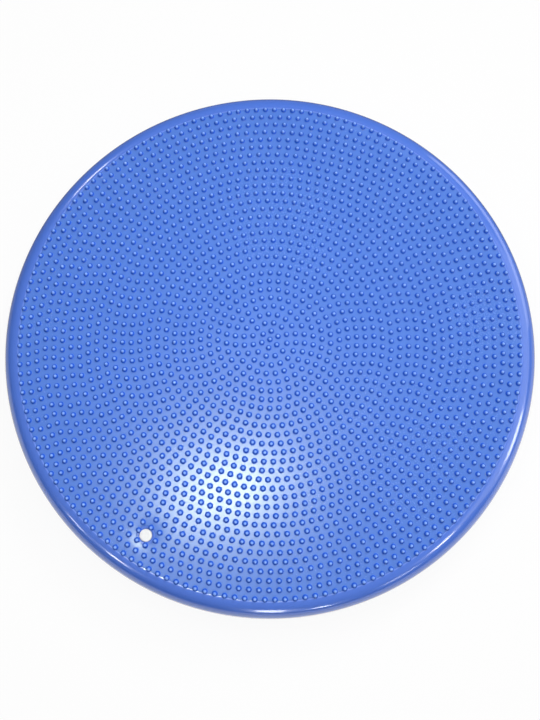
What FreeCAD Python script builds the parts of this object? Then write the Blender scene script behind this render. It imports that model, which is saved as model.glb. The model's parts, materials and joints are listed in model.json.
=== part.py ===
"""Round inflatable balance cushion, such as physiotherapists and trainers use, in millimetres.

Three soft PVC walls close one air space. The top skin is a slightly crowned disc with rings of small
nubs, which a foot, hand or seat rests on. The rim wall is a smooth rounded band, joined to both skins
along a fine crease. The bottom skin is a flat disc with rings of larger, flat studs. A valve body is
set in the top skin near the rim, and a small white plug closes it.

The frame: the cushion's axis is Z, the stud tips rest on z = 0, and the valve lies towards -X and -Y.
"""

import FreeCAD, Part
import math
import os

Vector = FreeCAD.Vector

# The air cushion
DISC_DIAMETER = 330.0  # at its widest, halfway up the rim
SKIN_WALL = 4.0  # both skins
RIM_WALL = 4.0
SIDE_RADIUS = 30.0  # the gentle bulge of the rim, in a section through the axis
SIDE_ANGLE = 15.0  # degrees of that bulge above and below the widest line
SHOULDER_RADIUS = 11.0  # the tighter round from the bulge to each skin
CROWN_RISE = 4.6  # the top skin's middle above its edge
CREASE_GAP = 0.3  # between a skin's edge and the rim wall's

# The nubs on the top skin
NUB_HEIGHT = 2.0
NUB_ROOT_RADIUS = 1.6
NUB_RING_PITCH = 5.255  # from one ring of nubs to the next
NUB_MARGIN = 1.5  # bare skin between the last nubs and the skin's edge, and around the valve's neck
NUB_STRIDE = 2  # the solid has every second nub of every second ring; the others are left to the look
NUB_ZONES = {  # by first ring: pitch along a ring, turn in degrees of ring 0, further turn of each ring
    0: (5.504, 205.5, 55.85),
    12: (5.61, 307.75, 54.8),
    22: (5.84, 304.25, -50.95),
}

# The studs under the cushion
STUD_HEIGHT = 3.5
STUD_ROOT_RADIUS = 3.5
STUD_TIP_RADIUS = 1.8
STUD_TIP_ROUND = 0.8
STUD_SINK = 1.2  # how deep a stud's root reaches into the skin
STUD_PITCH = 15.0  # from one ring of studs to the next
STUD_RING_COUNT_STEP = 6  # how many more studs a ring has than the ring inside it
STUD_MARGIN = 17.0  # bare skin outside the last ring

# The valve and its plug
VALVE_MARGIN = 16.4  # from the top skin's crease to the valve's axis
VALVE_AZIMUTH = 238.0  # degrees from +X towards +Y
VALVE_NECK_RADIUS = 5.5  # the part that fills the hole in the top skin
VALVE_NECK_INSET = 0.3  # the neck's face below the skin's surface
VALVE_FLANGE_RADIUS = 9.0  # the collar under the skin
VALVE_FLANGE_THICKNESS = 2.0
VALVE_TUBE_LENGTH = 8.0  # below the skin, flange included
BOND_CLEARANCE = 0.05  # between the valve body and the skin that it is bonded to
PLUG_HEAD_RADIUS = 3.7
PLUG_HEAD_THICKNESS = 1.4
PLUG_HEAD_ROUND = 0.4
PLUG_HEAD_CLEARANCE = 0.15  # around the head in its seat
PLUG_STEM_RADIUS = 2.6
PLUG_STEM_LENGTH = 9.5  # below the head
PLUG_STEM_CLEARANCE = 0.05  # around the stem in its bore
PLUG_RIB_COUNT = 4  # raised rings on the stem that seal it
PLUG_GROOVE_DEPTH = 0.35  # between the ribs

# What follows from them
SIDE_CENTRE_RADIUS = DISC_DIAMETER / 2 - SIDE_RADIUS
SHOULDER_REACH = SIDE_RADIUS - SHOULDER_RADIUS
CREASE_RADIUS = SIDE_CENTRE_RADIUS + SHOULDER_REACH * math.cos(math.radians(SIDE_ANGLE))
SHOULDER_OFFSET = SHOULDER_REACH * math.sin(math.radians(SIDE_ANGLE))
CREASE_HEIGHT = SHOULDER_OFFSET + SHOULDER_RADIUS  # above and below the widest line
WIDEST_Z = STUD_HEIGHT + CREASE_HEIGHT
CROWN_Z = WIDEST_Z + CREASE_HEIGHT + CROWN_RISE
CROWN_RADIUS = (CREASE_RADIUS**2 + CROWN_RISE**2) / (2 * CROWN_RISE)
SKIN_EDGE_RADIUS = CREASE_RADIUS - CREASE_GAP
VALVE_DISTANCE = CREASE_RADIUS - VALVE_MARGIN  # from the cushion's axis


def crown_z(radius):
    """Height of the top skin's outer face: a cap of one sphere."""
    return CROWN_Z - CROWN_RADIUS + math.sqrt(CROWN_RADIUS**2 - radius**2)


def section_point(radius, z):
    """A point of the half section that is turned about the cushion's axis."""
    return Vector(radius, 0, z)


def line(start, end):
    return Part.LineSegment(start, end).toShape()


def crown_arc(lift):
    """The arc of a face of the top skin, from the axis to the skin's edge."""
    radii = (0, SKIN_EDGE_RADIUS / 2, SKIN_EDGE_RADIUS)
    return Part.Arc(*(section_point(radius, crown_z(radius) + lift) for radius in radii)).toShape()


def rim_arc(centre, radius, start_angle, end_angle):
    """An arc of the rim's section, with angles in degrees above the horizontal."""
    points = []
    for angle in (start_angle, (start_angle + end_angle) / 2, end_angle):
        turn = math.radians(angle)
        points.append(centre + section_point(radius * math.cos(turn), radius * math.sin(turn)))
    return Part.Arc(*points).toShape()


def turned(edges):
    """The solid that a closed section makes when it is turned about the cushion's axis."""
    wire = Part.Wire(Part.__sortEdges__(edges))
    return Part.Face(wire).revolve(Vector(0, 0, 0), Vector(0, 0, 1), 360)


def skin_placement(radius, azimuth):
    """A frame on the top skin: its origin on the outer face, its Z square to that face."""
    tilt = math.degrees(math.asin(radius / CROWN_RADIUS))
    outwards = FreeCAD.Rotation(Vector(0, 0, 1), azimuth)
    turn = outwards.multiply(FreeCAD.Rotation(Vector(0, 1, 0), tilt))
    return FreeCAD.Placement(outwards.multVec(section_point(radius, crown_z(radius))), turn)


def valve_placement():
    """The frame of the valve and its plug."""
    return skin_placement(VALVE_DISTANCE, VALVE_AZIMUTH)


def upright_cylinder(radius, low, high):
    """A cylinder about the valve's axis, from one depth to another."""
    return Part.makeCylinder(radius, high - low, Vector(0, 0, low))


def nub_places():
    """The frames of the solid's nubs: on rings about the axis, and none on the valve."""
    last_radius = SKIN_EDGE_RADIUS - NUB_MARGIN - NUB_ROOT_RADIUS
    valve_clear = VALVE_NECK_RADIUS + NUB_MARGIN + NUB_ROOT_RADIUS
    places = []
    for ring in range(0, int(last_radius / NUB_RING_PITCH) + 1, NUB_STRIDE):
        pitch, first_turn, ring_turn = NUB_ZONES[max(first for first in NUB_ZONES if first <= ring)]
        radius = ring * NUB_RING_PITCH
        count = max(1, round(2 * math.pi * radius / pitch))
        for index in range(max(1, count // NUB_STRIDE)):
            azimuth = first_turn + ring_turn * ring + 360 * NUB_STRIDE * index / count
            place = skin_placement(radius, azimuth)
            if place.Base.distanceToPoint(valve_placement().Base) > valve_clear:
                places.append(place)
    return places


def nub():
    """One soft nub on its own frame: a ball, sunk in the skin until it has the nub's height and width."""
    radius = (NUB_ROOT_RADIUS**2 + NUB_HEIGHT**2) / (2 * NUB_HEIGHT)
    return Part.makeSphere(radius, Vector(0, 0, NUB_HEIGHT - radius))


def copies(pattern, places):
    """Copies of one shape, each on its own frame."""
    shapes = []
    for place in places:
        shape = pattern.copy()
        shape.Placement = place
        shapes.append(shape)
    return shapes


def top_skin():
    """The crowned disc with its nubs, one moulding, and a hole for the valve's neck."""
    edge_top = section_point(SKIN_EDGE_RADIUS, crown_z(SKIN_EDGE_RADIUS))
    down = Vector(0, 0, -SKIN_WALL)
    apex = section_point(0, CROWN_Z)
    skin = turned(
        [
            crown_arc(0),
            line(edge_top, edge_top + down),
            crown_arc(-SKIN_WALL),
            line(apex + down, apex),
        ]
    )
    hole = upright_cylinder(VALVE_NECK_RADIUS, -2 * SKIN_WALL, SKIN_WALL)
    hole.Placement = valve_placement()
    return skin.cut(hole).multiFuse(copies(nub(), nub_places()))


def rim_wall():
    """The smooth band between the skins: a shallow bulge with a tighter round at each end."""
    side = section_point(SIDE_CENTRE_RADIUS, WIDEST_Z)
    upper = section_point(CREASE_RADIUS, WIDEST_Z + SHOULDER_OFFSET)
    lower = section_point(CREASE_RADIUS, WIDEST_Z - SHOULDER_OFFSET)
    edges = []
    for inset in (0, RIM_WALL):
        edges.append(rim_arc(upper, SHOULDER_RADIUS - inset, 90, SIDE_ANGLE))
        edges.append(rim_arc(side, SIDE_RADIUS - inset, SIDE_ANGLE, -SIDE_ANGLE))
        edges.append(rim_arc(lower, SHOULDER_RADIUS - inset, -SIDE_ANGLE, -90))
    for centre, way in ((upper, 1), (lower, -1)):
        outer = centre + Vector(0, 0, way * SHOULDER_RADIUS)
        edges.append(line(outer, outer - Vector(0, 0, way * RIM_WALL)))
    return turned(edges)


def stud():
    """One soft stud, standing on z = 0 with its root below: a cone with a rounded, flat tip."""
    slope = (STUD_ROOT_RADIUS - STUD_TIP_RADIUS) / STUD_HEIGHT
    cone = Part.makeCone(
        STUD_ROOT_RADIUS + slope * STUD_SINK,
        STUD_TIP_RADIUS,
        STUD_HEIGHT + STUD_SINK,
        Vector(0, 0, -STUD_SINK),
    )
    tip = [edge for edge in cone.Edges if edge.BoundBox.ZMin > STUD_HEIGHT / 2]
    return cone.makeFillet(STUD_TIP_ROUND, tip)


def stud_places():
    """The frames of the studs: on rings about the axis, upside down under the bottom skin."""
    places = []
    for ring in range(int((CREASE_RADIUS - STUD_MARGIN) / STUD_PITCH) + 1):
        count = max(1, ring * STUD_RING_COUNT_STEP)
        for index in range(count):
            turn = FreeCAD.Rotation(Vector(0, 0, 1), 360 * (index + 0.5) / count)
            base = turn.multVec(section_point(ring * STUD_PITCH, STUD_HEIGHT))
            upside_down = turn.multiply(FreeCAD.Rotation(Vector(1, 0, 0), 180))
            places.append(FreeCAD.Placement(base, upside_down))
    return places


def bottom_skin():
    """The studded disc, one moulding. Its studs point down and end on z = 0."""
    skin = Part.makeCylinder(SKIN_EDGE_RADIUS, SKIN_WALL, Vector(0, 0, STUD_HEIGHT))
    return skin.multiFuse(copies(stud(), stud_places()))


def valve_body():
    """The pre-moulded valve: a neck in the skin, a collar under it, and a seat and bore for the plug."""
    under_skin = -SKIN_WALL - BOND_CLEARANCE
    bottom = -SKIN_WALL - VALVE_TUBE_LENGTH
    neck_radius = VALVE_NECK_RADIUS - BOND_CLEARANCE
    body = upright_cylinder(neck_radius, bottom, -VALVE_NECK_INSET)
    body = body.fuse(upright_cylinder(VALVE_FLANGE_RADIUS, under_skin - VALVE_FLANGE_THICKNESS, under_skin))
    seat_radius = PLUG_HEAD_RADIUS + PLUG_HEAD_CLEARANCE
    body = body.cut(upright_cylinder(seat_radius, -PLUG_HEAD_THICKNESS, SKIN_WALL))
    body = body.cut(upright_cylinder(PLUG_STEM_RADIUS + PLUG_STEM_CLEARANCE, 2 * bottom, 0))
    body.Placement = valve_placement()
    return body


def valve_plug():
    """The white plug: a flat round head, flush with the skin, and a ribbed stem."""
    head = upright_cylinder(PLUG_HEAD_RADIUS, -PLUG_HEAD_THICKNESS, 0)
    top_edge = [edge for edge in head.Edges if edge.BoundBox.ZMin > -PLUG_HEAD_THICKNESS / 2]
    head = head.makeFillet(PLUG_HEAD_ROUND, top_edge)
    stem_end = -PLUG_HEAD_THICKNESS - PLUG_STEM_LENGTH
    stem = upright_cylinder(PLUG_STEM_RADIUS, stem_end, -PLUG_HEAD_THICKNESS)
    band = PLUG_STEM_LENGTH / (2 * PLUG_RIB_COUNT + 1)
    core_radius = PLUG_STEM_RADIUS - PLUG_GROOVE_DEPTH
    for rib in range(PLUG_RIB_COUNT):
        low = stem_end + (2 * rib + 1) * band
        ring = upright_cylinder(2 * PLUG_STEM_RADIUS, low, low + band)
        stem = stem.cut(ring.cut(upright_cylinder(core_radius, low, low + band)))
    plug = head.fuse(stem)
    plug.Placement = valve_placement()
    return plug


NODES = {
    "top_skin": top_skin,
    "rim_wall": rim_wall,
    "bottom_skin": bottom_skin,
    "valve_body": valve_body,
    "valve_plug": valve_plug,
}

os.makedirs("parts", exist_ok=True)
for node, make in NODES.items():
    make().exportStep(f"parts/{node}.step")
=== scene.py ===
"""The look of a round inflatable balance cushion.

It has a nubbed top skin, a smooth rim, a studded underside, a valve and a plug. Lengths are metres in the
cushion's own frame: its axis is Z, the stud tips rest on z = 0 and the valve lies towards -X and -Y. Every
shape is a grid of points over two parameters, and almost all of them are a section turned about an axis.
"""

import json
import math

import bpy
import numpy as np
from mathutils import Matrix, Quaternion, Vector


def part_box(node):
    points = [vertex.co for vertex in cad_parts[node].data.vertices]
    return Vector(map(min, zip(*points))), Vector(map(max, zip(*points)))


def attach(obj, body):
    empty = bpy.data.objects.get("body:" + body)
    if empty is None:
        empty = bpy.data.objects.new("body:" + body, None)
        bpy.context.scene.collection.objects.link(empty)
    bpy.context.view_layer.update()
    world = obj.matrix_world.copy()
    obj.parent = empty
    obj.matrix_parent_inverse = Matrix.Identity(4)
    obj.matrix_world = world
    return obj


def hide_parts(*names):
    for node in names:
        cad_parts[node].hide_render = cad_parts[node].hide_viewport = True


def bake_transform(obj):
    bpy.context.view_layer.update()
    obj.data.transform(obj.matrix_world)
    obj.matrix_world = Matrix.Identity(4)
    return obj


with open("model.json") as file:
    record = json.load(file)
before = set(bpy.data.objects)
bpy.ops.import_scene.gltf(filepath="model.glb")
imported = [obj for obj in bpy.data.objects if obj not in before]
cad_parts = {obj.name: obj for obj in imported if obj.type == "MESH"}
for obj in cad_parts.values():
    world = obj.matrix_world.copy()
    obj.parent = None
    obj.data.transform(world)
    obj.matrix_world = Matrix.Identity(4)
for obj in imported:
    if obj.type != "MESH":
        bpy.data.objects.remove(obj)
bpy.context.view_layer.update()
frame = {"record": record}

MM = 0.001
WHOLE_TURN = 2 * math.pi

# ---------------------------------------------------------------- sizes read from the frame
skin_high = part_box("top_skin")[1]
rim_low, rim_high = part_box("rim_wall")
base_low, base_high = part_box("bottom_skin")

RIM_RADIUS = rim_high.x
SKIN_RADIUS = skin_high.x  # both skins end here, just inside the crease
CREASE_TOP_Z = rim_high.z
CREASE_BASE_Z = rim_low.z
WIDEST_Z = (rim_low.z + rim_high.z) / 2
SKIN_WALL = base_high.z - rim_low.z

# ---------------------------------------------------------------- sizes of the air cushion's details
CREASE_GAP = 0.3 * MM  # between the solids; the look closes it to a fine line
CREASE_RADIUS = SKIN_RADIUS + CREASE_GAP
CREASE_LINE = 0.03 * MM  # half the line's width
CREASE_ROUND = 0.12 * MM  # the edges on both sides of the line
RIM_WALL = 4 * MM
SIDE_RADIUS = 30 * MM  # the gentle bulge, in a section through the axis
SIDE_ANGLE = math.radians(15)  # of that bulge above and below the widest line
SHOULDER_RADIUS = 11 * MM  # the tighter round from the bulge to the crease
SHOULDER_FINE_ANGLE = 62  # degrees; from here to the crease the section's points are closer
PARTING_RIDGE = 0.12 * MM  # the mould's parting line around the widest part
PARTING_WIDTH = 0.5 * MM

NUB_RING_PITCH = 5.255 * MM  # from one ring of nubs to the next
NUB_HEIGHT = 2.0 * MM
NUB_TIP_RADIUS = 1.1 * MM
NUB_LEAN = math.radians(28)  # of the flank from the upright
NUB_FILLET = 0.5 * MM  # between the flank and the skin
NUB_SINK = 0.01 * MM  # the foot's depth in the skin
NUB_COLUMNS = 10  # points round a nub
NUB_ZONES = {  # first ring, last ring, pitch along a ring, and start and step in degrees
    "top_nubs_middle": (0, 11, 5.504 * MM, 205.5, 55.85),
    "top_nubs_halfway": (12, 21, 5.61 * MM, 307.75, 54.8),
    "top_nubs_outer": (22, 29, 5.84 * MM, 304.25, -50.95),
}

VALVE_SEAT_RADIUS = 3.85 * MM
VALVE_SEAT_DEPTH = 1.4 * MM
VALVE_SEAT_EDGE = 0.15 * MM  # the small slope round its mouth
VALVE_BORE_RADIUS = 2.65 * MM
VALVE_NECK_RADIUS = 5.45 * MM
VALVE_HOLE_RADIUS = 5.5 * MM
VALVE_FLANGE_RADIUS = 9 * MM  # the collar under the skin
VALVE_FLANGE_THICKNESS = 2 * MM
VALVE_FLANGE_DROP = 0.75 * MM  # below the skin's wall, to clear the dimple's inner face
VALVE_LENGTH = 12 * MM  # from the skin's face to the end of the tube
VALVE_COLUMNS = 64
VALVE_DIMPLE_DEPTH = 0.7 * MM
VALVE_DIMPLE_SPREAD = 4.5 * MM
VALVE_CLEAR_RADIUS = 5 * MM  # no nub stands this close to the plug's axis

PLUG_HEAD_RADIUS = 3.7 * MM
PLUG_HEAD_ROUND = 0.4 * MM
PLUG_HEAD_THICKNESS = 1.4 * MM
PLUG_STEM_RADIUS = 2.6 * MM
PLUG_STEM_LENGTH = 9.5 * MM
PLUG_STEM_CHAMFER = 0.5 * MM  # at the stem's end
PLUG_GROOVE_COUNT = 4  # around the stem, with a raised band before, between and after them
PLUG_GROOVE_DEPTH = 0.35 * MM
PLUG_GROOVE_SLOPE = 0.15 * MM  # how far along the stem each of its sides leans
PLUG_COLUMNS = 64

STUD_HEIGHT = CREASE_BASE_Z - base_low.z
STUD_ROOT_RADIUS = 3.5 * MM
STUD_FOOT_RADIUS = STUD_ROOT_RADIUS + 0.24 * MM  # where the flank ends inside the skin
STUD_FOOT_DEPTH = 0.5 * MM
STUD_TIP_RADIUS = 1.8 * MM
STUD_TIP_ROUND = 0.8 * MM
STUD_PITCH = 15 * MM  # from one ring of studs to the next
STUD_RINGS = 10
STUD_RING_COUNT_STEP = 6  # how many more studs a ring has than the ring inside it
STUD_COLUMNS = 16

CROWN_Z = skin_high.z - NUB_HEIGHT  # between the nubs, at the axis
CROWN_RISE = CROWN_Z - CREASE_TOP_Z
CROWN_RADIUS = (CREASE_RADIUS**2 + CROWN_RISE**2) / (2 * CROWN_RISE)
PANEL_RADIUS = CREASE_RADIUS - CREASE_LINE  # where the top and bottom panels end
PANEL_COLUMNS = 320
RIM_EDGE_RADIUS = CREASE_RADIUS + CREASE_LINE  # where the rim's halves end
RIM_COLUMNS = 360

port = next(mount for mount in frame["record"]["mounts"] if mount["name"] == "inflation_port")
VALVE_PLACE = np.array(port["pos_m"])
VALVE_AXIS = np.array(port["axis"]) / np.linalg.norm(port["axis"])


# ---------------------------------------------------------------- shapes as arrays
def arc(centre, radius, start, end, count):
    """Points of an arc in a section: centre + radius (cos t, sin t), with t from start to end in degrees."""
    t = np.radians(np.linspace(start, end, count))
    return np.stack([centre[0] + radius * np.cos(t), centre[1] + radius * np.sin(t)], axis=1)


def polyline(*parts):
    """One section from arcs and single points, as an array of (radius, height) rows."""
    return np.concatenate([np.atleast_2d(np.asarray(part, float)) for part in parts])


def turned(section, columns):
    """The grid that a section makes when it turns about Z: (r cos a, r sin a, h) for each row (r, h)."""
    a = np.linspace(0, WHOLE_TURN, columns, endpoint=False)
    r = section[:, 0, None]
    h = np.broadcast_to(section[:, 1, None], (len(section), columns))
    return np.stack([r * np.cos(a), r * np.sin(a), h], axis=2)


def valve_dimple(distance):
    """Depth of the dimple round the valve: a bell curve, depth times exp(-distance^2 / 2 spread^2)."""
    return VALVE_DIMPLE_DEPTH * np.exp(-(distance**2) / (2 * VALVE_DIMPLE_SPREAD**2))


def skin_height(x, y):
    """Height of the top skin's outer face: the cap of a sphere, less the dimple round the valve."""
    cap = CROWN_Z - CROWN_RADIUS + np.sqrt(CROWN_RADIUS**2 - x**2 - y**2)
    return cap - valve_dimple(np.hypot(x - VALVE_PLACE[0], y - VALVE_PLACE[1]))


def skin_normal(x, y):
    """Unit normals of the top skin: (-dz/dx, -dz/dy, 1) over its length, slopes by central difference."""
    step = 0.05 * MM
    slope_x = (skin_height(x + step, y) - skin_height(x - step, y)) / (2 * step)
    slope_y = (skin_height(x, y + step) - skin_height(x, y - step)) / (2 * step)
    normal = np.stack([-slope_x, -slope_y, np.ones_like(slope_x)], axis=-1)
    return normal / np.linalg.norm(normal, axis=-1, keepdims=True)


def basis(axis):
    """Three unit vectors for each axis given, the last one the axis itself and the first one level."""
    axis = np.asarray(axis, float)
    level = np.cross(np.array([0.0, 1.0, 0.0]), axis)
    level /= np.linalg.norm(level, axis=-1, keepdims=True)
    return level, np.cross(axis, level), axis


def along_valve(grid):
    """A grid turned about Z, moved so that Z is the valve's axis and the origin is on the skin."""
    level, across, axis = basis(VALVE_AXIS)
    return VALVE_PLACE + grid[..., :1] * level + grid[..., 1:2] * across + grid[..., 2:] * axis


# ---------------------------------------------------------------- meshes
def quads(rows, columns, close_rows):
    """Corner numbers of the faces between grid points; columns close on themselves, rows if asked."""
    row = np.arange(rows if close_rows else rows - 1)[:, None]
    column = np.arange(columns)[None, :]
    next_row = (row + 1) % rows
    next_column = (column + 1) % columns
    corners = [
        row * columns + column,
        next_row * columns + column,
        next_row * columns + next_column,
        row * columns + next_column,
    ]
    return np.stack([np.broadcast_to(c, (len(row), columns)) for c in corners], axis=-1).reshape(-1, 4)


def signed_volume(points, faces):
    """Volume within the faces, negative if they point inwards: a sum of tetrahedra from the middle."""
    centred = points - points.mean(axis=0)
    a, b, c, d = (centred[faces[:, k]] for k in range(4))
    return (np.einsum("ij,ij->i", a, np.cross(b, c)) + np.einsum("ij,ij->i", a, np.cross(c, d))).sum() / 6


def mesh_object(name, points, faces, material):
    """A smooth-shaded piece from points and quads; a quad that repeats a corner becomes a triangle."""
    mesh = bpy.data.meshes.new(name)
    mesh.from_pydata(points, [], [list(dict.fromkeys(face)) for face in faces.tolist()])
    mesh.polygons.foreach_set("use_smooth", np.ones(len(mesh.polygons), bool))
    mesh.materials.append(material)
    piece = bpy.data.objects.new(name, mesh)
    bpy.context.scene.collection.objects.link(piece)
    return piece


def outwards(points, faces):
    """The faces with their corners in the order that makes their normals point out of the closed shape."""
    return faces[:, ::-1] if signed_volume(points, faces) < 0 else faces


def ring_piece(name, grid, material):
    """A closed ring: a section that closes on itself, turned about an axis that it doesn't touch."""
    points = grid.reshape(-1, 3)
    return mesh_object(name, points, outwards(points, quads(*grid.shape[:2], True)), material)


def pole_faces(grid):
    """Points and faces of a turned section whose first and last rows lie on the axis, each as one point."""
    rows, columns = grid.shape[:2]
    points = np.concatenate([grid[0, :1], grid[1:-1].reshape(-1, 3), grid[-1, :1]])
    faces = np.clip(quads(rows, columns, False) - (columns - 1), 0, len(points) - 1)
    return points, outwards(points, faces)


def solid_piece(name, grid, material):
    """A closed piece from a section that starts and ends on the axis."""
    points, faces = pole_faces(grid)
    return mesh_object(name, points, faces, material)


def repeated_piece(name, grid, places, normals, material):
    """Copies of one small closed shape in one mesh, each standing at its place with Z along its normal.

    The point attribute rise is a point's height over its copy's foot, from 0 there to 1 at the tip.
    """
    points, faces = pole_faces(grid)
    level, across, axis = (vector[:, None] for vector in basis(normals))
    x, y, z = (points[None, :, k, None] for k in range(3))
    spread = places[:, None] + x * level + y * across + z * axis
    offsets = np.arange(len(places)) * len(points)
    all_faces = (faces[None] + offsets[:, None, None]).reshape(-1, 4)
    piece = mesh_object(name, spread.reshape(-1, 3), all_faces, material)
    rise = np.clip(points[:, 2] / points[:, 2].max(), 0, 1)
    attribute = piece.data.attributes.new("rise", "FLOAT", "POINT")
    attribute.data.foreach_set("value", np.tile(rise, len(places)).astype(np.float32))
    return piece


# ---------------------------------------------------------------- shader maths
class Value:
    """One output socket, on which + - * / and ** add Math nodes."""

    def __init__(self, tree, socket):
        self.tree = tree
        self.socket = socket

    def maths(self, operation, *operands):
        inputs = dict(enumerate(operands))
        return self.tree.node("ShaderNodeMath", {"operation": operation}, inputs)[0]

    def __add__(self, other):
        return self.maths("ADD", self, other)

    def __radd__(self, other):
        return self.maths("ADD", other, self)

    def __sub__(self, other):
        return self.maths("SUBTRACT", self, other)

    def __rsub__(self, other):
        return self.maths("SUBTRACT", other, self)

    def __mul__(self, other):
        return self.maths("MULTIPLY", self, other)

    def __rmul__(self, other):
        return self.maths("MULTIPLY", other, self)

    def __truediv__(self, other):
        return self.maths("DIVIDE", self, other)

    def __pow__(self, other):
        return self.maths("POWER", self, other)

    def at_least(self, other):
        return self.maths("MAXIMUM", self, other)

    def at_most(self, other):
        return self.maths("MINIMUM", self, other)


class Tree:
    """The node tree of a material or of the world, empty but for its output."""

    def __init__(self, owner, output):
        owner.use_nodes = True
        self.tree = owner.node_tree
        self.tree.nodes.clear()
        self.output = self.tree.nodes.new(output)

    def node(self, kind, settings=None, inputs=None):
        """Makes a node of that type, with its settings, then its inputs by name or number.

        An input is a value, or a link if it is a Value. The outputs come back by number and by name.
        """
        made = self.tree.nodes.new(kind)
        for name, value in (settings or {}).items():
            setattr(made, name, value)
        for name, value in (inputs or {}).items():
            if isinstance(value, Value):
                self.tree.links.new(value.socket, made.inputs[name])
            else:
                made.inputs[name].default_value = value
        outputs = {}
        for number, socket in enumerate(made.outputs):
            outputs[number] = outputs[socket.name] = Value(self, socket)
        return outputs

    def finish(self, shader):
        self.tree.links.new(shader.socket, self.output.inputs["Surface"])

    def mix_colours(self, share, first, second):
        """The colour between first and second: share 0 gives first, 1 gives second."""
        return self.node("ShaderNodeMix", {"data_type": "RGBA"}, {0: share, 6: first, 7: second})[2]

    def mix_shaders(self, share, first, second):
        """The shader between first and second: share 0 gives first, 1 gives second."""
        return self.node("ShaderNodeMixShader", inputs={0: share, 1: first, 2: second})[0]

    def noise(self, where, scale, detail):
        """Noise from 0 to 1 over Object coordinates, with scale in bumps per metre."""
        return self.node("ShaderNodeTexNoise", inputs={"Vector": where, "Scale": scale, "Detail": detail})[0]

    def bump(self, strength, distance, height):
        """A normal that tilts as if the surface rose by distance where height goes from 0 to 1."""
        inputs = {"Strength": strength, "Distance": distance, "Height": height}
        return self.node("ShaderNodeBump", inputs=inputs)[0]


# ---------------------------------------------------------------- finishes
CLOUD_SCALE = 14  # noise scales, in bumps per metre
GRAIN_SCALE = 900
FINE_GRAIN_SCALE = 3200
MOTTLE_SCALE = 700

PVC_IOR = 1.53
PVC_PEEL_HEIGHT = 0.02 * MM
PVC_COAT_ROUGHNESS = 0.08
PLASTIC_IOR = 1.5
PLASTIC_BUMP_HEIGHT = 0.03 * MM

# Painted shade: the flanks of nubs and studs are a deeper blue where shade falls on them.
NUB_FLANK_PAINTED_SHADE = (0.0, 0.076, 0.60, 1)
NUB_FLANK_SHADE_SHARE = 0.9  # the share of that painted shade where it is deepest
# Painted highlight: the tips of nubs and studs are a paler blue where light catches them.
NUB_TIP_PAINTED_HIGHLIGHT = (0.23, 0.42, 0.98, 1)
NUB_TIP_HIGHLIGHT_POWER = 5.0  # the higher, the nearer to the tip the painted highlight stays
# Painted highlight: a pale line along the rim's edge at the crease, where light glints.
CREASE_PAINTED_HIGHLIGHT = (0.22, 0.36, 0.92, 1)
CREASE_HIGHLIGHT_SHARE = 0.4  # the share of that painted highlight in its middle
CREASE_HIGHLIGHT_RADIUS = CREASE_RADIUS + 0.35 * MM
CREASE_HIGHLIGHT_WIDTH = 0.6 * MM  # from its middle to where it ends


def soft_pvc(name, deep, pale, roughness, peel, coat=0.0, painted_crease_highlight=False):
    """Soft moulded PVC: a satin gloss over a slightly uneven blue, with a fine peel like dipped vinyl.

    With r for the attribute rise, the flank of a nub or stud is deeper by 27/4 r (1 - r)^2, which is 1 at a
    third of its height, as painted shade, and its tip is paler by a power of r, as a painted highlight. A
    piece without rise has neither. Where asked, a painted highlight makes the rim's edge at the crease a
    little paler too, by
    1 - (distance / width)^2.
    """
    material = bpy.data.materials.new(name)
    tree = Tree(material, "ShaderNodeOutputMaterial")
    where = tree.node("ShaderNodeTexCoord")["Object"]
    cloud = tree.noise(where, CLOUD_SCALE, 3)
    grain = tree.noise(where, GRAIN_SCALE, 2)
    fine_grain = tree.noise(where, FINE_GRAIN_SCALE, 2)
    rise = tree.node("ShaderNodeAttribute", {"attribute_name": "rise"})["Fac"]
    flank = 27 / 4 * rise * (1 - rise) ** 2
    colour = tree.mix_colours(0.7 * cloud + 0.3 * grain, deep, pale)
    # painted shade: a deeper blue on the flank
    colour = tree.mix_colours(NUB_FLANK_SHADE_SHARE * flank, colour, NUB_FLANK_PAINTED_SHADE)
    # painted highlight: a paler blue at the tip
    colour = tree.mix_colours(rise**NUB_TIP_HIGHLIGHT_POWER, colour, NUB_TIP_PAINTED_HIGHLIGHT)
    # painted highlight: a paler line along the rim's edge at the crease
    if painted_crease_highlight:
        place = tree.node("ShaderNodeSeparateXYZ", inputs={"Vector": where})
        from_crease_highlight = (place["X"] ** 2 + place["Y"] ** 2) ** 0.5 - CREASE_HIGHLIGHT_RADIUS
        near_crease_highlight = (1 - (from_crease_highlight / CREASE_HIGHLIGHT_WIDTH) ** 2).at_least(0)
        colour = tree.mix_colours(CREASE_HIGHLIGHT_SHARE * near_crease_highlight, colour, CREASE_PAINTED_HIGHLIGHT)
    surface = {
        "Base Color": colour,
        "Roughness": roughness + 0.06 * (cloud - 0.5) + 0.05 * (grain - 0.5),
        "Normal": tree.bump(peel, PVC_PEEL_HEIGHT, 0.7 * grain + 0.3 * fine_grain),
        "IOR": PVC_IOR,
        "Coat Weight": coat,
        "Coat Roughness": PVC_COAT_ROUGHNESS,
    }
    tree.finish(tree.node("ShaderNodeBsdfPrincipled", inputs=surface)[0])
    return material


def plug_plastic(name):
    """White moulded plastic, a little mottled."""
    material = bpy.data.materials.new(name)
    tree = Tree(material, "ShaderNodeOutputMaterial")
    mottle = tree.noise(tree.node("ShaderNodeTexCoord")["Object"], MOTTLE_SCALE, 3)
    surface = {
        "Base Color": tree.mix_colours(mottle, (0.65, 0.65, 0.68, 1), (0.76, 0.77, 0.80, 1)),
        "Roughness": 0.32 + 0.1 * mottle,
        "Normal": tree.bump(0.3, PLASTIC_BUMP_HEIGHT, mottle),
        "IOR": PLASTIC_IOR,
    }
    tree.finish(tree.node("ShaderNodeBsdfPrincipled", inputs=surface)[0])
    return material


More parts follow.
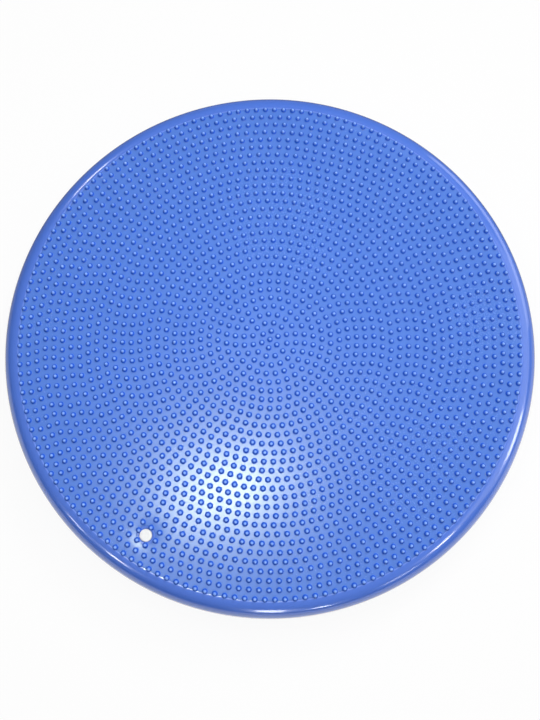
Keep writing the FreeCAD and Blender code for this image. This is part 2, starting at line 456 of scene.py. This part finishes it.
nubbed_blue = soft_pvc(
    "nubbed_blue_pvc",
    deep=(0.066, 0.178, 0.60, 1),
    pale=(0.086, 0.208, 0.66, 1),
    roughness=0.26,
    peel=0.25,
)
smooth_blue = soft_pvc(
    "smooth_blue_pvc",
    deep=(0.066, 0.164, 0.64, 1),
    pale=(0.078, 0.186, 0.68, 1),
    roughness=0.2,
    peel=0.15,
    coat=0.8,
    # with the painted highlight along the crease
    painted_crease_highlight=True,
)
valve_blue = soft_pvc(
    "valve_blue_pvc",
    deep=(0.045, 0.140, 0.60, 1),
    pale=(0.055, 0.160, 0.66, 1),
    roughness=0.36,
    peel=0.25,
)
plug_white = plug_plastic("plug_white")


# ---------------------------------------------------------------- top skin
def top_skin_grid(columns):
    """The top skin as one closed sheet: circles that pass from the valve's hole to the skin's edge.

    A row's circle has its centre at a share of the valve's place and its radius between the hole's and the
    edge's, and each point is lifted to the skin's height plus the row's lift. Rows run over the outer face,
    round the edge, back along the inner face and up the hole's wall.
    """
    spread = np.linspace(0, 1, 64) ** 1.6  # closer together near the valve
    near_edge = PANEL_RADIUS - CREASE_ROUND
    outer = [(1 - s, VALVE_HOLE_RADIUS + s * (near_edge - VALVE_HOLE_RADIUS), 0.0) for s in spread]
    edge = arc((near_edge, -CREASE_ROUND), CREASE_ROUND, 90, 0, 6)[1:]
    rounded = [(0.0, radius, lift) for radius, lift in edge]
    lower_edge = [(0.0, PANEL_RADIUS, -SKIN_WALL)]
    inner = [(share, radius, -SKIN_WALL) for share, radius, _ in outer[::-4]]
    rows = np.array(outer + rounded + lower_edge + inner)
    share, radius, lift = (rows[:, k, None] for k in range(3))
    a = np.linspace(0, WHOLE_TURN, columns, endpoint=False)
    x = share * VALVE_PLACE[0] + radius * np.cos(a)
    y = share * VALVE_PLACE[1] + radius * np.sin(a)
    return np.stack([x, y, skin_height(x, y) + lift], axis=2)


def nub_section():
    """Half section of a nub: a fillet, a steep flank and a domed tip, closed just under the skin."""
    tip_centre = NUB_HEIGHT - NUB_TIP_RADIUS
    shoulder = (NUB_TIP_RADIUS * math.cos(NUB_LEAN), tip_centre + NUB_TIP_RADIUS * math.sin(NUB_LEAN))
    fillet_top = NUB_FILLET * (1 - math.sin(NUB_LEAN))
    flank_foot = shoulder[0] + (shoulder[1] - fillet_top) * math.tan(NUB_LEAN)
    centre = (flank_foot + NUB_FILLET * math.cos(NUB_LEAN), NUB_FILLET)
    lean = math.degrees(NUB_LEAN)
    fillet = arc(centre, NUB_FILLET, 270, 180 + lean, 4)
    tip = arc((0, tip_centre), NUB_TIP_RADIUS, lean, 90, 5)
    section = polyline((0, 0), fillet, tip)
    section[-1, 0] = 0  # exactly on the axis
    section[:, 1] -= NUB_SINK
    return section


def nub_zone(first_ring, last_ring, arc_pitch, start, step):
    """Places of the nubs of some rings, and the skin's normals there.

    Ring k has the radius k times the ring pitch, and as many nubs as its length holds at the arc pitch. Its
    first nub is turned by start + step k degrees.
    """
    places = []
    for ring in range(first_ring, last_ring + 1):
        radius = ring * NUB_RING_PITCH
        count = max(1, round(WHOLE_TURN * radius / arc_pitch))
        a = np.arange(count) * WHOLE_TURN / count + math.radians(start + step * ring)
        places.append(np.stack([radius * np.cos(a), radius * np.sin(a)], axis=1))
    x, y = np.concatenate(places).T
    clear = np.hypot(x - VALVE_PLACE[0], y - VALVE_PLACE[1]) > VALVE_CLEAR_RADIUS
    x, y = x[clear], y[clear]
    return np.stack([x, y, skin_height(x, y)], axis=1), skin_normal(x, y)


top_panel = ring_piece("top_panel", top_skin_grid(PANEL_COLUMNS), nubbed_blue)
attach(top_panel, "top")
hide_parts("top_skin")

nub_grid = turned(nub_section(), NUB_COLUMNS)
for name, zone in NUB_ZONES.items():
    nub_places, nub_normals = nub_zone(*zone)
    nubs = repeated_piece(name, nub_grid, nub_places, nub_normals, nubbed_blue)
    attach(nubs, "top")
    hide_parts("top_skin")


# ---------------------------------------------------------------- rim
def rim_half_section():
    """Closed half section of the rim above the widest line, with heights from that line.

    The outer face is a gentle bulge, then a tighter shoulder that ends level at the crease with a small
    round. The inner face is the same, one wall further in. The parting line is a low ridge at the widest
    line: the bulge beside it is lower by the ridge's height times 1 - exp(-(distance / width)^2).
    """
    side_centre = RIM_RADIUS - SIDE_RADIUS
    reach = SIDE_RADIUS - SHOULDER_RADIUS
    shoulder = (side_centre + reach * math.cos(SIDE_ANGLE), reach * math.sin(SIDE_ANGLE))
    angle = math.degrees(SIDE_ANGLE)
    side = arc((side_centre, 0), SIDE_RADIUS, 0, angle, 13)
    side[:, 0] += PARTING_RIDGE * np.exp(-((side[:, 1] / PARTING_WIDTH) ** 2)) - PARTING_RIDGE
    inset = RIM_EDGE_RADIUS + CREASE_ROUND - shoulder[0]
    last = 90 - math.degrees(math.asin(inset / SHOULDER_RADIUS))
    lower_shoulder = arc(shoulder, SHOULDER_RADIUS, angle, SHOULDER_FINE_ANGLE, 14)[1:]
    upper_shoulder = arc(shoulder, SHOULDER_RADIUS, SHOULDER_FINE_ANGLE, last, 26)[1:]
    edge_centre = (RIM_EDGE_RADIUS + CREASE_ROUND, upper_shoulder[-1, 1] - CREASE_ROUND)
    edge = arc(edge_centre, CREASE_ROUND, 110, 180, 5)  # its 90 degrees is the shoulder's last point
    inner_shoulder = arc(shoulder, SHOULDER_RADIUS - RIM_WALL, 90, angle, 7)
    inner_side = arc((side_centre, 0), SIDE_RADIUS - RIM_WALL, angle, 0, 4)[1:]
    return polyline(side, lower_shoulder, upper_shoulder, edge, inner_shoulder, inner_side)


def rim_grid(way):
    """The rim's upper half (way 1) or lower half (way -1), turned about the cushion's axis."""
    section = rim_half_section()
    section[:, 1] = WIDEST_Z + way * section[:, 1]
    return turned(section, RIM_COLUMNS)


rim_upper = ring_piece("rim_upper_half", rim_grid(1), smooth_blue)
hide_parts("rim_wall")
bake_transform(rim_upper)

rim_lower = ring_piece("rim_lower_half", rim_grid(-1), smooth_blue)
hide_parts("rim_wall")
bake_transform(rim_lower)


# ---------------------------------------------------------------- underside
def base_section():
    """Half section of the bottom skin: a flat disc one wall thick, with its edge rounded at the crease."""
    near_edge = PANEL_RADIUS - CREASE_ROUND
    edge = arc((near_edge, CREASE_BASE_Z + CREASE_ROUND), CREASE_ROUND, 270, 360, 6)
    rings = [(radius, CREASE_BASE_Z) for radius in np.linspace(0, near_edge, 16)[:-1]]
    inner = [(radius, CREASE_BASE_Z + SKIN_WALL) for radius in np.linspace(PANEL_RADIUS, 0, 8)]
    return polyline(rings, edge, inner)


def stud_section():
    """Half section of a stud, its root at height 0: a steep cone with a rounded, flat tip."""
    slope = math.atan2(STUD_ROOT_RADIUS - STUD_TIP_RADIUS, STUD_HEIGHT)
    inset = STUD_TIP_ROUND * math.tan((math.pi / 2 - slope) / 2)
    centre = (STUD_TIP_RADIUS - inset, STUD_HEIGHT - STUD_TIP_ROUND)
    tip = arc(centre, STUD_TIP_ROUND, math.degrees(slope), 90, 4)
    return polyline((0, -STUD_FOOT_DEPTH), (STUD_FOOT_RADIUS, -STUD_FOOT_DEPTH), tip, (0, STUD_HEIGHT))


def stud_places():
    """Rings of studs one pitch apart, each turned by half of its own step from stud to stud."""
    places = []
    for ring in range(STUD_RINGS):
        count = max(1, ring * STUD_RING_COUNT_STEP)
        a = (np.arange(count) + 0.5) * WHOLE_TURN / count
        radius = ring * STUD_PITCH
        places.append(np.stack([radius * np.cos(a), radius * np.sin(a)], axis=1))
    x, y = np.concatenate(places).T
    return np.stack([x, y, np.full_like(x, CREASE_BASE_Z)], axis=1)


base_panel = solid_piece("base_panel", turned(base_section(), PANEL_COLUMNS), nubbed_blue)
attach(base_panel, "underside")
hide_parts("bottom_skin")

studs_at = stud_places()
downwards = np.tile([0.0, 0.0, -1.0], (len(studs_at), 1))
stud_grid = turned(stud_section(), STUD_COLUMNS)
studs = repeated_piece("base_studs", stud_grid, studs_at, downwards, nubbed_blue)
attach(studs, "underside")
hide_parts("bottom_skin")


# ---------------------------------------------------------------- valve
def valve_section():
    """Closed half section of the valve body: neck flush with the dimpled skin, seat, bore and collar."""
    neck_radii = np.linspace(VALVE_SEAT_RADIUS + VALVE_SEAT_EDGE, VALVE_NECK_RADIUS, 6)
    neck = np.stack([neck_radii, -valve_dimple(neck_radii)], axis=1)
    collar_top = -SKIN_WALL - VALVE_FLANGE_DROP
    collar_low = collar_top - VALVE_FLANGE_THICKNESS
    return polyline(
        (VALVE_BORE_RADIUS, -VALVE_LENGTH),
        (VALVE_BORE_RADIUS, -VALVE_SEAT_DEPTH),
        (VALVE_SEAT_RADIUS, -VALVE_SEAT_DEPTH),
        (VALVE_SEAT_RADIUS, -valve_dimple(VALVE_SEAT_RADIUS) - VALVE_SEAT_EDGE),
        neck,
        (VALVE_NECK_RADIUS, collar_top),
        (VALVE_FLANGE_RADIUS, collar_top),
        (VALVE_FLANGE_RADIUS, collar_low),
        (VALVE_NECK_RADIUS, collar_low),
        (VALVE_NECK_RADIUS, -VALVE_LENGTH),
    )


def plug_section():
    """Half section of the plug: a flat head with a rounded edge and a grooved stem with a chamfered end."""
    stem_end = -PLUG_HEAD_THICKNESS - PLUG_STEM_LENGTH
    band = PLUG_STEM_LENGTH / (2 * PLUG_GROOVE_COUNT + 1)
    core = PLUG_STEM_RADIUS - PLUG_GROOVE_DEPTH
    stem = [(0, stem_end), (PLUG_STEM_RADIUS - PLUG_STEM_CHAMFER, stem_end)]
    stem += [(PLUG_STEM_RADIUS, stem_end + PLUG_STEM_CHAMFER)]
    for groove in range(PLUG_GROOVE_COUNT):
        low = stem_end + (2 * groove + 1) * band
        stem += [(PLUG_STEM_RADIUS, low), (core, low + PLUG_GROOVE_SLOPE)]
        stem += [(core, low + band - PLUG_GROOVE_SLOPE), (PLUG_STEM_RADIUS, low + band)]
    stem += [(PLUG_STEM_RADIUS, -PLUG_HEAD_THICKNESS), (PLUG_HEAD_RADIUS, -PLUG_HEAD_THICKNESS)]
    head_edge = arc((PLUG_HEAD_RADIUS - PLUG_HEAD_ROUND, -PLUG_HEAD_ROUND), PLUG_HEAD_ROUND, 0, 90, 7)
    top = [(share * PLUG_HEAD_RADIUS, 0) for share in (0.7, 0.4, 0)]
    return polyline(stem, head_edge, top)


valve_boss = ring_piece("valve_boss", along_valve(turned(valve_section(), VALVE_COLUMNS)), valve_blue)
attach(valve_boss, "top")
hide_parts("valve_body")

air_plug = solid_piece("air_plug", along_valve(turned(plug_section(), PLUG_COLUMNS)), plug_white)
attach(air_plug, "plug")
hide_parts("valve_plug")


# ---------------------------------------------------------------- studio
CAMERA_TILT = math.radians(10.88)  # from the cushion's axis, towards -Y
CAMERA_DISTANCE = 0.5258
CAMERA_AIM = np.array([0, -0.00868, WIDEST_Z])
CAMERA_LENS = 41.905
CAMERA_SENSOR_WIDTH = 36

WHITE = (1, 1, 1, 1)
FLOOR_HALF_SIDE = 3.0
FLOOR_PALE = (0.8, 0.8, 0.8, 1)
FLOOR_WHITENESS = 0.93  # the share of pure white that the camera sees over the lit and shaded floor
FLOOR_SHINE_FADE = 0.2  # along Y, from the floor's full to its dim reflection
FLOOR_DIM_SHINE = 0.15

ROOM_LIGHT = 0.21  # its strength at and below the horizon
ROOM_LIGHT_OVERHEAD = 0.40  # what it gains up to the zenith
ROOM_SHINE_LOSS = 0.16  # how much less of it reflections see
ROOM_SHINE_LOSS_OVERHEAD = 0.10  # how much that grows up to the zenith

# Name, azimuth and elevation in degrees, distance, width, height, power in watts and what it lights, and
# for one of them its roll in degrees and its colour
LAMPS = (
    ("key", 150, 42, 2.2, 0.85, 0.7, 21.0, "matt"),
    ("top", -50, 87, 0.40, 0.2, 0.2, 0.72, "matt"),
    ("glow", -36.0, 80.2, 0.848, 0.19, 0.03, 3.0, "shine", 50, (0.94, 1.0, 0.62)),
    ("window_right", 92, 36, 1.2, 1.2, 0.9, 3.5, "all"),
    ("window_pane", 79, 24, 1.3, 0.25, 0.35, 2.4, "shine"),
    ("far_right", 125, 10, 1.3, 1.0, 0.5, 2.7, "shine"),
    ("front", 0, 19, 1.5, 0.17, 0.34, 2.3, "shine"),
    ("front_slit", 13, 16, 1.5, 0.12, 0.06, 0.7, "shine"),
    ("right_slit", 34, 22, 1.3, 0.20, 0.05, 0.4, "shine"),
    ("right_pane", 49, 38, 1.3, 0.12, 0.10, 1.2, "shine"),
    ("front_left", -42, 36, 1.3, 0.10, 0.09, 0.8, "shine"),
    ("front_far_left", -55, 29, 1.3, 0.10, 0.06, 0.5, "shine"),
    ("back_left", -142, 38, 1.3, 0.17, 0.08, 0.9, "shine"),
)


def look(thing, place, aim, roll=0.0):
    """Puts a camera or lamp at a place and turns its -Z towards its aim, its Y as upright as it can be.

    Then it rolls about its own Z by that many degrees.
    """
    thing.location = place
    direction = Vector(aim) - Vector(place)
    rolled = Quaternion((0, 0, 1), math.radians(roll))
    thing.rotation_euler = (direction.to_track_quat("-Z", "Y") @ rolled).to_euler()


def camera():
    """The camera, above the cushion and tilted from its axis."""
    data = bpy.data.cameras.new("camera")
    data.lens = CAMERA_LENS
    data.sensor_width = CAMERA_SENSOR_WIDTH
    data.clip_start = 0.01
    thing = bpy.data.objects.new("camera", data)
    bpy.context.scene.collection.objects.link(thing)
    back = np.array([0, -math.sin(CAMERA_TILT), math.cos(CAMERA_TILT)])
    look(thing, CAMERA_AIM + CAMERA_DISTANCE * back, CAMERA_AIM)
    bpy.context.scene.camera = thing


def lamp(name, azimuth, elevation, distance, width, height, power, lights, roll=0.0, colour=(1, 1, 1)):
    """A soft rectangular lamp that faces the cushion from an azimuth (0 is -Y, 90 is +X) and elevation.

    It lights all, only the shine of a surface or only its matt colour, and is rolled about its own aim.
    """
    data = bpy.data.lights.new(name, "AREA")
    data.shape = "RECTANGLE"
    data.size = width
    data.size_y = height
    data.energy = power
    data.color = colour
    thing = bpy.data.objects.new(name, data)
    thing.visible_diffuse = lights != "shine"
    thing.visible_glossy = lights != "matt"
    thing.visible_camera = False
    bpy.context.scene.collection.objects.link(thing)
    turn, rise = math.radians(azimuth), math.radians(elevation)
    away = (math.sin(turn) * math.cos(rise), -math.cos(turn) * math.cos(rise), math.sin(rise))
    look(thing, distance * np.array(away), (0, 0, WIDEST_Z), roll)


def white_floor():
    """A plain white floor that the camera and reflections see as white, and that still takes a shadow.

    Reflections see it dimmer behind the cushion's middle, where a studio's sweep is in the dark.
    """
    material = bpy.data.materials.new("floor_white")
    tree = Tree(material, "ShaderNodeOutputMaterial")
    rays = tree.node("ShaderNodeLightPath")
    where = tree.node("ShaderNodeTexCoord")["Object"]
    y = tree.node("ShaderNodeSeparateXYZ", inputs={"Vector": where})["Y"]
    near = (0.5 - y / FLOOR_SHINE_FADE).at_least(0).at_most(1)
    matt = tree.node("ShaderNodeBsdfDiffuse", inputs={"Color": FLOOR_PALE})[0]
    white = tree.node("ShaderNodeEmission", inputs={"Color": WHITE, "Strength": 1.0})[0]
    dim = tree.node("ShaderNodeEmission", inputs={"Color": WHITE, "Strength": FLOOR_DIM_SHINE})[0]
    looked_at = tree.mix_shaders(FLOOR_WHITENESS * rays["Is Camera Ray"], matt, white)
    mirrored = tree.mix_shaders(near, dim, white)
    in_shine = rays["Is Glossy Ray"].at_least(rays["Is Transmission Ray"])
    tree.finish(tree.mix_shaders(in_shine, looked_at, mirrored))
    ways = ((-1, -1), (1, -1), (1, 1), (-1, 1))
    corners = [(FLOOR_HALF_SIDE * x, FLOOR_HALF_SIDE * y, 0) for x, y in ways]
    mesh = bpy.data.meshes.new("floor")
    mesh.from_pydata(corners, [], [(0, 1, 2, 3)])
    mesh.materials.append(material)
    floor = bpy.data.objects.new("floor", mesh)
    bpy.context.scene.collection.objects.link(floor)


def room():
    """The room: white to the camera, and otherwise a grey that grows paler overhead with sin^2(elevation).

    Reflections see a darker grey than matt surfaces do.
    """
    world = bpy.data.worlds.new("room")
    bpy.context.scene.world = world
    tree = Tree(world, "ShaderNodeOutputWorld")
    direction = tree.node("ShaderNodeTexCoord")["Generated"]
    above = tree.node("ShaderNodeSeparateXYZ", inputs={"Vector": direction})["Z"].at_least(0) ** 2
    rays = tree.node("ShaderNodeLightPath")
    loss = rays["Is Glossy Ray"] * (ROOM_SHINE_LOSS + ROOM_SHINE_LOSS_OVERHEAD * above)
    light = ROOM_LIGHT + ROOM_LIGHT_OVERHEAD * above - loss
    white = tree.node("ShaderNodeBackground", inputs={"Color": WHITE, "Strength": 1.0})[0]
    grey = tree.node("ShaderNodeBackground", inputs={"Color": WHITE, "Strength": light})[0]
    tree.finish(tree.mix_shaders(rays["Is Camera Ray"], grey, white))


camera()
white_floor()
room()
for settings in LAMPS:
    lamp(*settings)
bpy.context.scene.view_settings.view_transform = "Standard"
